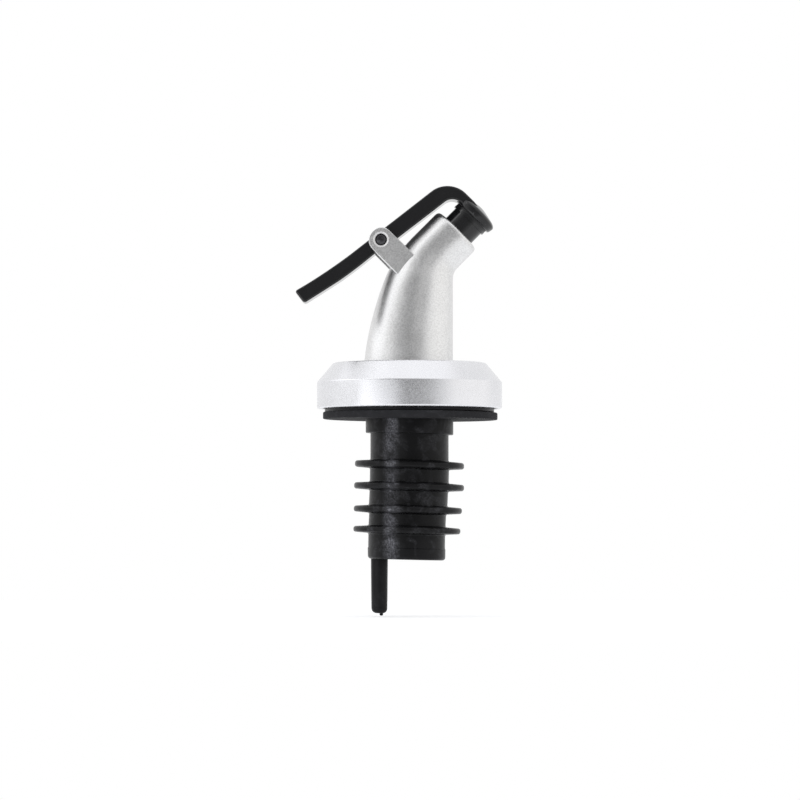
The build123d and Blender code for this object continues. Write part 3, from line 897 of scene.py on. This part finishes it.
# %% Spring
coil_radius = 1.6
wire_radius = 0.22
coil_pitch = 0.5
tail_angle, body_angle = 242.6, 275.0
coil_turns = 3 + (tail_angle - body_angle) % 360 / 360
coil_half = coil_turns * coil_pitch / 2
coil_steps = 120
tail_reaches, body_reaches = (3.6, 1.8, 0.3), (0.3, 2.0, 3.6, 5.1)  # of the legs' points, from the coil


def round_pin(angle, radius, y):
    """Point about the pin's middle; the angle counts from +X towards +Z, in degrees."""
    turn = math.radians(angle)
    return Vector((radius * math.cos(turn), y, radius * math.sin(turn)))


tail_root = round_pin(tail_angle - 90, coil_radius, -coil_half)
body_root = round_pin(body_angle + 90, coil_radius, coil_half)
wire_path = [tail_root + round_pin(tail_angle, reach, 0) for reach in tail_reaches]
for step in range(coil_steps + 1):
    share = step / coil_steps
    angle = tail_angle - 90 - 360 * coil_turns * share
    wire_path.append(round_pin(angle, coil_radius, coil_half * (2 * share - 1)))
wire_path += [body_root + round_pin(body_angle, reach, 0) for reach in body_reaches]


def facing(direction):
    """Turn that points Z along a direction."""
    return direction.to_track_quat("Z", "Y").to_matrix().to_4x4()


def wire(path, radius, sides=12):
    """Closed round wire along a path of points in millimetres about the pin."""
    form = bmesh.new()
    loops = []
    for index, point in enumerate(path):
        along = path[min(index + 1, len(path) - 1)] - path[max(index - 1, 0)]
        place = Matrix.Translation(pivot + point * mm) @ facing(along)
        made = bmesh.ops.create_circle(
            form, segments=sides, radius=radius * mm, matrix=place,
            cap_ends=index in (0, len(path) - 1),
        )
        loops.append(list({edge for vertex in made["verts"] for edge in vertex.link_edges}))
    for first, second in zip(loops, loops[1:]):
        first = [edge for edge in first if len(edge.link_faces) < 2]
        second = [edge for edge in second if len(edge.link_faces) < 2]
        bmesh.ops.bridge_loops(form, edges=first + second)
    return cleaned(form)


spring = placed("return_spring", wire(wire_path, wire_radius))
spring.data.shade_smooth()
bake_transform(spring)
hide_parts("torsion_spring")
print("spring", len(spring.data.vertices), "vertices")

# %% [markdown]
# ## Thumb lever
# The lever is one glossy moulding: a flat bar that bends down over the mouth, with a round cap at
# its nose. The bar is one outline with rounded bends, drawn along the arm, made as thick as the
# lever is wide and softened along both faces, and the cap is spun. A round hub carries the pin's
# hole. It ends just inside the bar's faces, because an exact union often fails on two faces in one
# plane. The window for the spring, the pin's hole, the hole for the wire's end and the seat of
# the mouth's seal are cut out in this order, which leaves a closed mesh.

# %% Bar and cap
arm_lean = math.radians(37.6)  # above the level
arm_way = Vector((math.cos(arm_lean), 0, math.sin(arm_lean)))
arm_up = Vector((-math.sin(arm_lean), 0, math.cos(arm_lean)))
lever_half = 3.5 * mm
cap_low = 4.0  # the cap's underside above the nozzle's face
neck_low, neck_sunk, neck_high = 4.3, 5.85, 6.42
neck_bend, neck_end = -1.2, 0.6  # where the bar starts to sink into the cap, and its end
bar_bevel = 0.42
hub_radius, hub_half = 2.2, 3.46


def in_lever(u, y, v):
    """Point at u along the arm from the pin and v above it."""
    point = pivot + arm_way * u + arm_up * v
    return (point.x, y, point.z)


def neck_corner(along, across, rounding):
    """Corner of the bar given by its place on the nozzle's axis and beside it."""
    point = face_centre + (pour_way * along + across_way * across) * mm - pivot
    return point.dot(arm_way) / mm, point.dot(arm_up) / mm, rounding


bar_corners = [
    (-20.4, 2.5, 0.55),
    (-12.2, 1.5, 6.0),
    (19.0, 1.68, 4.6),
    neck_corner(neck_high, neck_bend, 0.8),
    neck_corner(neck_sunk, neck_end, 0),
    neck_corner(neck_low, neck_end, 0),
    (17.37, -1.76, 2.1),
    (2.2, -1.76, 0),
    (-2.2, -1.42, 0),
    (-8.6, -1.58, 3.0),
    (-12.4, -1.38, 4.0),
    (-20.4, -0.65, 0.65),
]
bar = plate(bar_corners, in_lever, -lever_half, lever_half, arc=14)
for side in (-1, 1):
    bar = bevel_rim(bar, side * lever_half, bar_bevel * mm, segments=4)
cap_corners = [
    (0, cap_low, 0),
    (4.42, cap_low, 0.1),
    (4.62, cap_low + 0.3, 0.1),
    (4.83, cap_low + 1.3, 0.25),
    (4.4, cap_low + 1.85, 0.4),
    (3.5, cap_low + 2.12, 0.6),
    (2.1, cap_low + 2.45, 0.6),
    (0.9, cap_low + 2.7, 0.5),
    (0, cap_low + 2.74, 0),
]
hub = moved(turned(rod(hub_radius, -hub_half, hub_half, 0.2), 96), across_pivot)
lever_form = carved(bar, hub, "UNION")
lever_form = carved(lever_form, moved(turned(cap_corners, 128), to_nozzle), "UNION")

# %% Openings of the lever
window_u, window_v, window_y = 2.1, 4.2, 1.5  # half its size along the arm, above it and across
bore_radius, bore_half = 1.25, 4.5
leg_hole_radius, leg_hole_depth = 0.32, 3.8
seat_radius, seat_depth = 2.25, 1.05
window_corners = [
    (-window_u, -window_v, 0),
    (window_u, -window_v, 0),
    (window_u, window_v, 0),
    (-window_u, window_v, 0),
]
window = plate(window_corners, in_lever, -window_y * mm, window_y * mm)
bore = moved(turned(rod(bore_radius, -bore_half, bore_half), 64), across_pivot)
leg_place = Matrix.Translation(pivot + tail_root * mm) @ facing(round_pin(tail_angle, 1, 0))
leg_hole = moved(turned(rod(leg_hole_radius, 0, leg_hole_depth), 24), leg_place)
seat = moved(turned(rod(seat_radius, cap_low - 1, cap_low + seat_depth), 64), to_nozzle)
for opening in (window, bore, leg_hole, seat):
    lever_form = carved(lever_form, opening, "DIFFERENCE")
lever = finished("thumb_lever", lever_form, "lever", crisp=30)
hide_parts("lever")

# %% [markdown]
# ## Dressing
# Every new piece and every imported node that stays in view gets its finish. The mouth's seal, the
# pour tip, the air tube and the O-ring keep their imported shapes, because those are plain moulded
# forms that are already right.

# %% Finishes on pieces
for piece, paint in (
    (collar, ring_silver),
    (spout, body_silver),
    (stopper, rubber_black),
    (washer, washer_black),
    (core, stem_black),
    (breather, stem_black),
    (spring, wire_steel),
    (pin, pin_dark),
    (lever, lever_black),
):
    piece.data.materials.clear()
    piece.data.materials.append(paint)
for node, paint in (
    ("mouth_seal", seal_black),
    ("pour_tip", tip_black),
    ("air_tube", stem_black),
    ("foot_o_ring", seal_black),
):
    for place in nodes[node].material_slots:
        place.material = paint
print("dressed", len(nodes), "nodes")

# %% Size of the imported model
print("cad box", cad_box)
